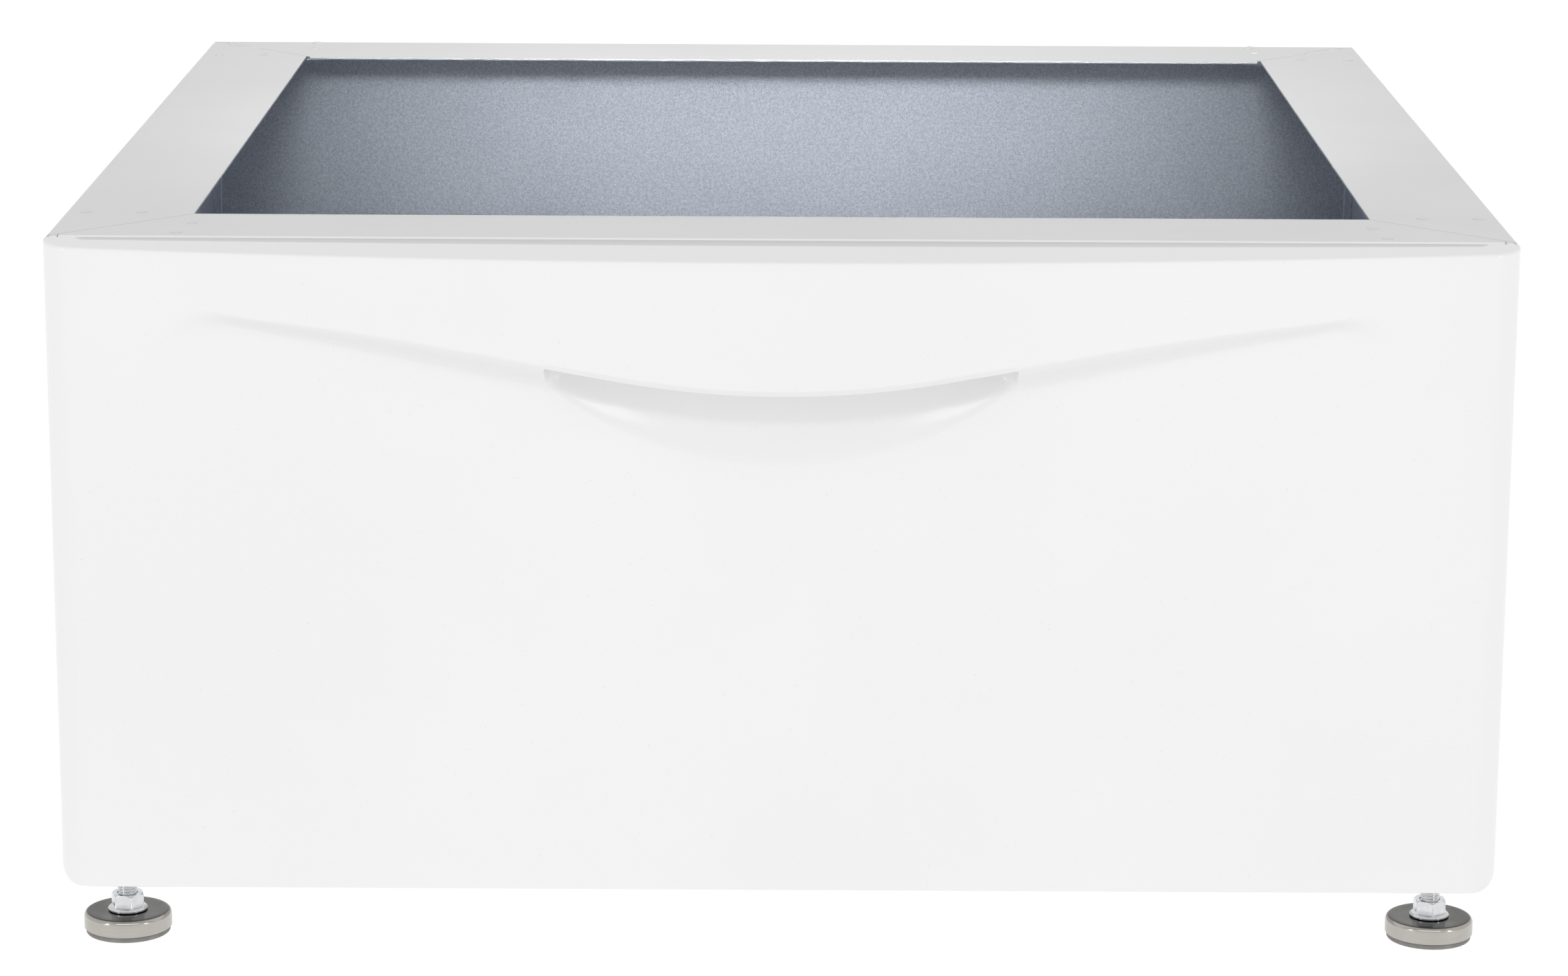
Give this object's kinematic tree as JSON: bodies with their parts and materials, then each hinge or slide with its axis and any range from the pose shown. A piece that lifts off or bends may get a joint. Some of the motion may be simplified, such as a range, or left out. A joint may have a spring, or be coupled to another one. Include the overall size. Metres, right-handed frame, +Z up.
{
  "type": "laundry pedestal with storage drawer",
  "caption": "White steel pedestal that raises a front-load washer or dryer, with a full-width storage drawer on ball slides and levelling feet.",
  "frame": {"origin": "middle of the footprint at floor level", "axes": "+Z up, +X to the user's right facing the drawer, the drawer opens towards -Y"},
  "size_m": [0.686, 0.692, 0.3508],
  "materials": {
    "cabinet_paint": "satin white baked paint outside, grey metallic coat inside",
    "drawer_front_paint": "semi-gloss white baked paint",
    "bare_zinc_sheet": "zinc-coated sheet, blue-grey, fine sparkle",
    "drawer_box_paint": "light grey powder coat",
    "slide_steel": "bright zinc-plated rolled steel",
    "ball_cage_steel": "plain steel strip with polished balls",
    "plated_fasteners": "zinc-plated, slightly worn",
    "stainless_cup": "turned stainless, brushed sides and polished rim",
    "rubber": "grey moulded rubber"
  },
  "bodies": {
    "cabinet": {"back_panel": "cabinet_paint", "bottom_front_rail": "cabinet_paint", "foot_bracket_front_left": "bare_zinc_sheet", "foot_bracket_front_right": "bare_zinc_sheet", "foot_bracket_rear_left": "bare_zinc_sheet", "foot_bracket_rear_right": "bare_zinc_sheet", "foot_bracket_rivets": "plated_fasteners", "foot_weld_nuts": "bare_zinc_sheet", "left_side_panel": "cabinet_paint", "rear_corner_welds": "cabinet_paint", "right_side_panel": "cabinet_paint", "slide_cabinet_member_left": "slide_steel", "slide_cabinet_member_right": "slide_steel", "slide_cabinet_screws": "plated_fasteners", "top_frame_rivets": "cabinet_paint", "top_front_rail": "cabinet_paint", "top_gusset_front_left": "bare_zinc_sheet", "top_gusset_front_right": "bare_zinc_sheet", "top_gusset_rear_left": "bare_zinc_sheet", "top_gusset_rear_right": "bare_zinc_sheet"},
    "drawer": {"drawer_back_wall": "drawer_box_paint", "drawer_bumpers": "rubber", "drawer_floor": "drawer_box_paint", "drawer_front_pan": "bare_zinc_sheet", "drawer_front_panel": "drawer_front_paint", "drawer_front_screws": "plated_fasteners", "drawer_front_wall": "drawer_box_paint", "drawer_left_wall": "drawer_box_paint", "drawer_right_wall": "drawer_box_paint", "slide_drawer_member_left": "slide_steel", "slide_drawer_member_right": "slide_steel", "slide_drawer_screws": "plated_fasteners"},
    "slide_middles": {"slide_middle_member_left": "slide_steel", "slide_middle_member_right": "slide_steel"},
    "outer_ball_cages": {"ball_cage_outer_left": "ball_cage_steel", "ball_cage_outer_right": "ball_cage_steel"},
    "inner_ball_cages": {"ball_cage_inner_left": "ball_cage_steel", "ball_cage_inner_right": "ball_cage_steel"},
    "foot_front_left": {"foot_pad_front_left": "rubber", "foot_cup_front_left": "stainless_cup"},
    "stud_front_left": {"foot_stud_front_left": "plated_fasteners", "foot_hex_front_left": "plated_fasteners"},
    "foot_front_right": {"foot_pad_front_right": "rubber", "foot_cup_front_right": "stainless_cup"},
    "stud_front_right": {"foot_stud_front_right": "plated_fasteners", "foot_hex_front_right": "plated_fasteners"},
    "foot_rear_left": {"foot_pad_rear_left": "rubber", "foot_cup_rear_left": "stainless_cup"},
    "stud_rear_left": {"foot_stud_rear_left": "plated_fasteners", "foot_hex_rear_left": "plated_fasteners"},
    "foot_rear_right": {"foot_pad_rear_right": "rubber", "foot_cup_rear_right": "stainless_cup"},
    "stud_rear_right": {"foot_stud_rear_right": "plated_fasteners", "foot_hex_rear_right": "plated_fasteners"}
  },
  "joints": [
    {"name": "drawer_slide", "type": "slide", "parent": "cabinet", "child": "drawer", "axis": [0, -1, 0], "range_m": [0, 0.48]},
    {"name": "slide_middles_travel", "type": "slide", "parent": "cabinet", "child": "slide_middles", "axis": [0, -1, 0], "range_m": [0, 0.24]},
    {"name": "outer_cages_travel", "type": "slide", "parent": "cabinet", "child": "outer_ball_cages", "axis": [0, -1, 0], "range_m": [0, 0.12]},
    {"name": "inner_cages_travel", "type": "slide", "parent": "cabinet", "child": "inner_ball_cages", "axis": [0, -1, 0], "range_m": [0, 0.36]},
    {"name": "foot_height_front_left", "type": "slide", "parent": "cabinet", "child": "foot_front_left", "axis": [0, 0, -1], "range_m": [-0.0051, 0.0121]},
    {"name": "foot_turn_front_left", "type": "hinge", "parent": "foot_front_left", "child": "stud_front_left", "pos_m": [-0.3177, -0.274, 0], "axis": [0, 0, -1], "range_deg": [-1133.86, 2721.26]},
    {"name": "foot_height_front_right", "type": "slide", "parent": "cabinet", "child": "foot_front_right", "axis": [0, 0, -1], "range_m": [-0.0051, 0.0121]},
    {"name": "foot_turn_front_right", "type": "hinge", "parent": "foot_front_right", "child": "stud_front_right", "pos_m": [0.3177, -0.274, 0], "axis": [0, 0, -1], "range_deg": [-1133.86, 2721.26]},
    {"name": "foot_height_rear_left", "type": "slide", "parent": "cabinet", "child": "foot_rear_left", "axis": [0, 0, -1], "range_m": [-0.0051, 0.0121]},
    {"name": "foot_turn_rear_left", "type": "hinge", "parent": "foot_rear_left", "child": "stud_rear_left", "pos_m": [-0.3177, 0.314, 0], "axis": [0, 0, -1], "range_deg": [-1133.86, 2721.26]},
    {"name": "foot_height_rear_right", "type": "slide", "parent": "cabinet", "child": "foot_rear_right", "axis": [0, 0, -1], "range_m": [-0.0051, 0.0121]},
    {"name": "foot_turn_rear_right", "type": "hinge", "parent": "foot_rear_right", "child": "stud_rear_right", "pos_m": [0.3177, 0.314, 0], "axis": [0, 0, -1], "range_deg": [-1133.86, 2721.26]}
  ],
  "couplings": [
    {"joint": "slide_middles_travel", "follows": "drawer_slide", "ratio": 0.5},
    {"joint": "outer_cages_travel", "follows": "drawer_slide", "ratio": 0.25},
    {"joint": "inner_cages_travel", "follows": "drawer_slide", "ratio": 0.75},
    {"joint": "foot_height_front_left", "follows": "foot_turn_front_left", "m_per_rad": 0.00025266},
    {"joint": "foot_height_front_right", "follows": "foot_turn_front_right", "m_per_rad": 0.00025266},
    {"joint": "foot_height_rear_left", "follows": "foot_turn_rear_left", "m_per_rad": 0.00025266},
    {"joint": "foot_height_rear_right", "follows": "foot_turn_rear_right", "m_per_rad": 0.00025266}
  ]
}
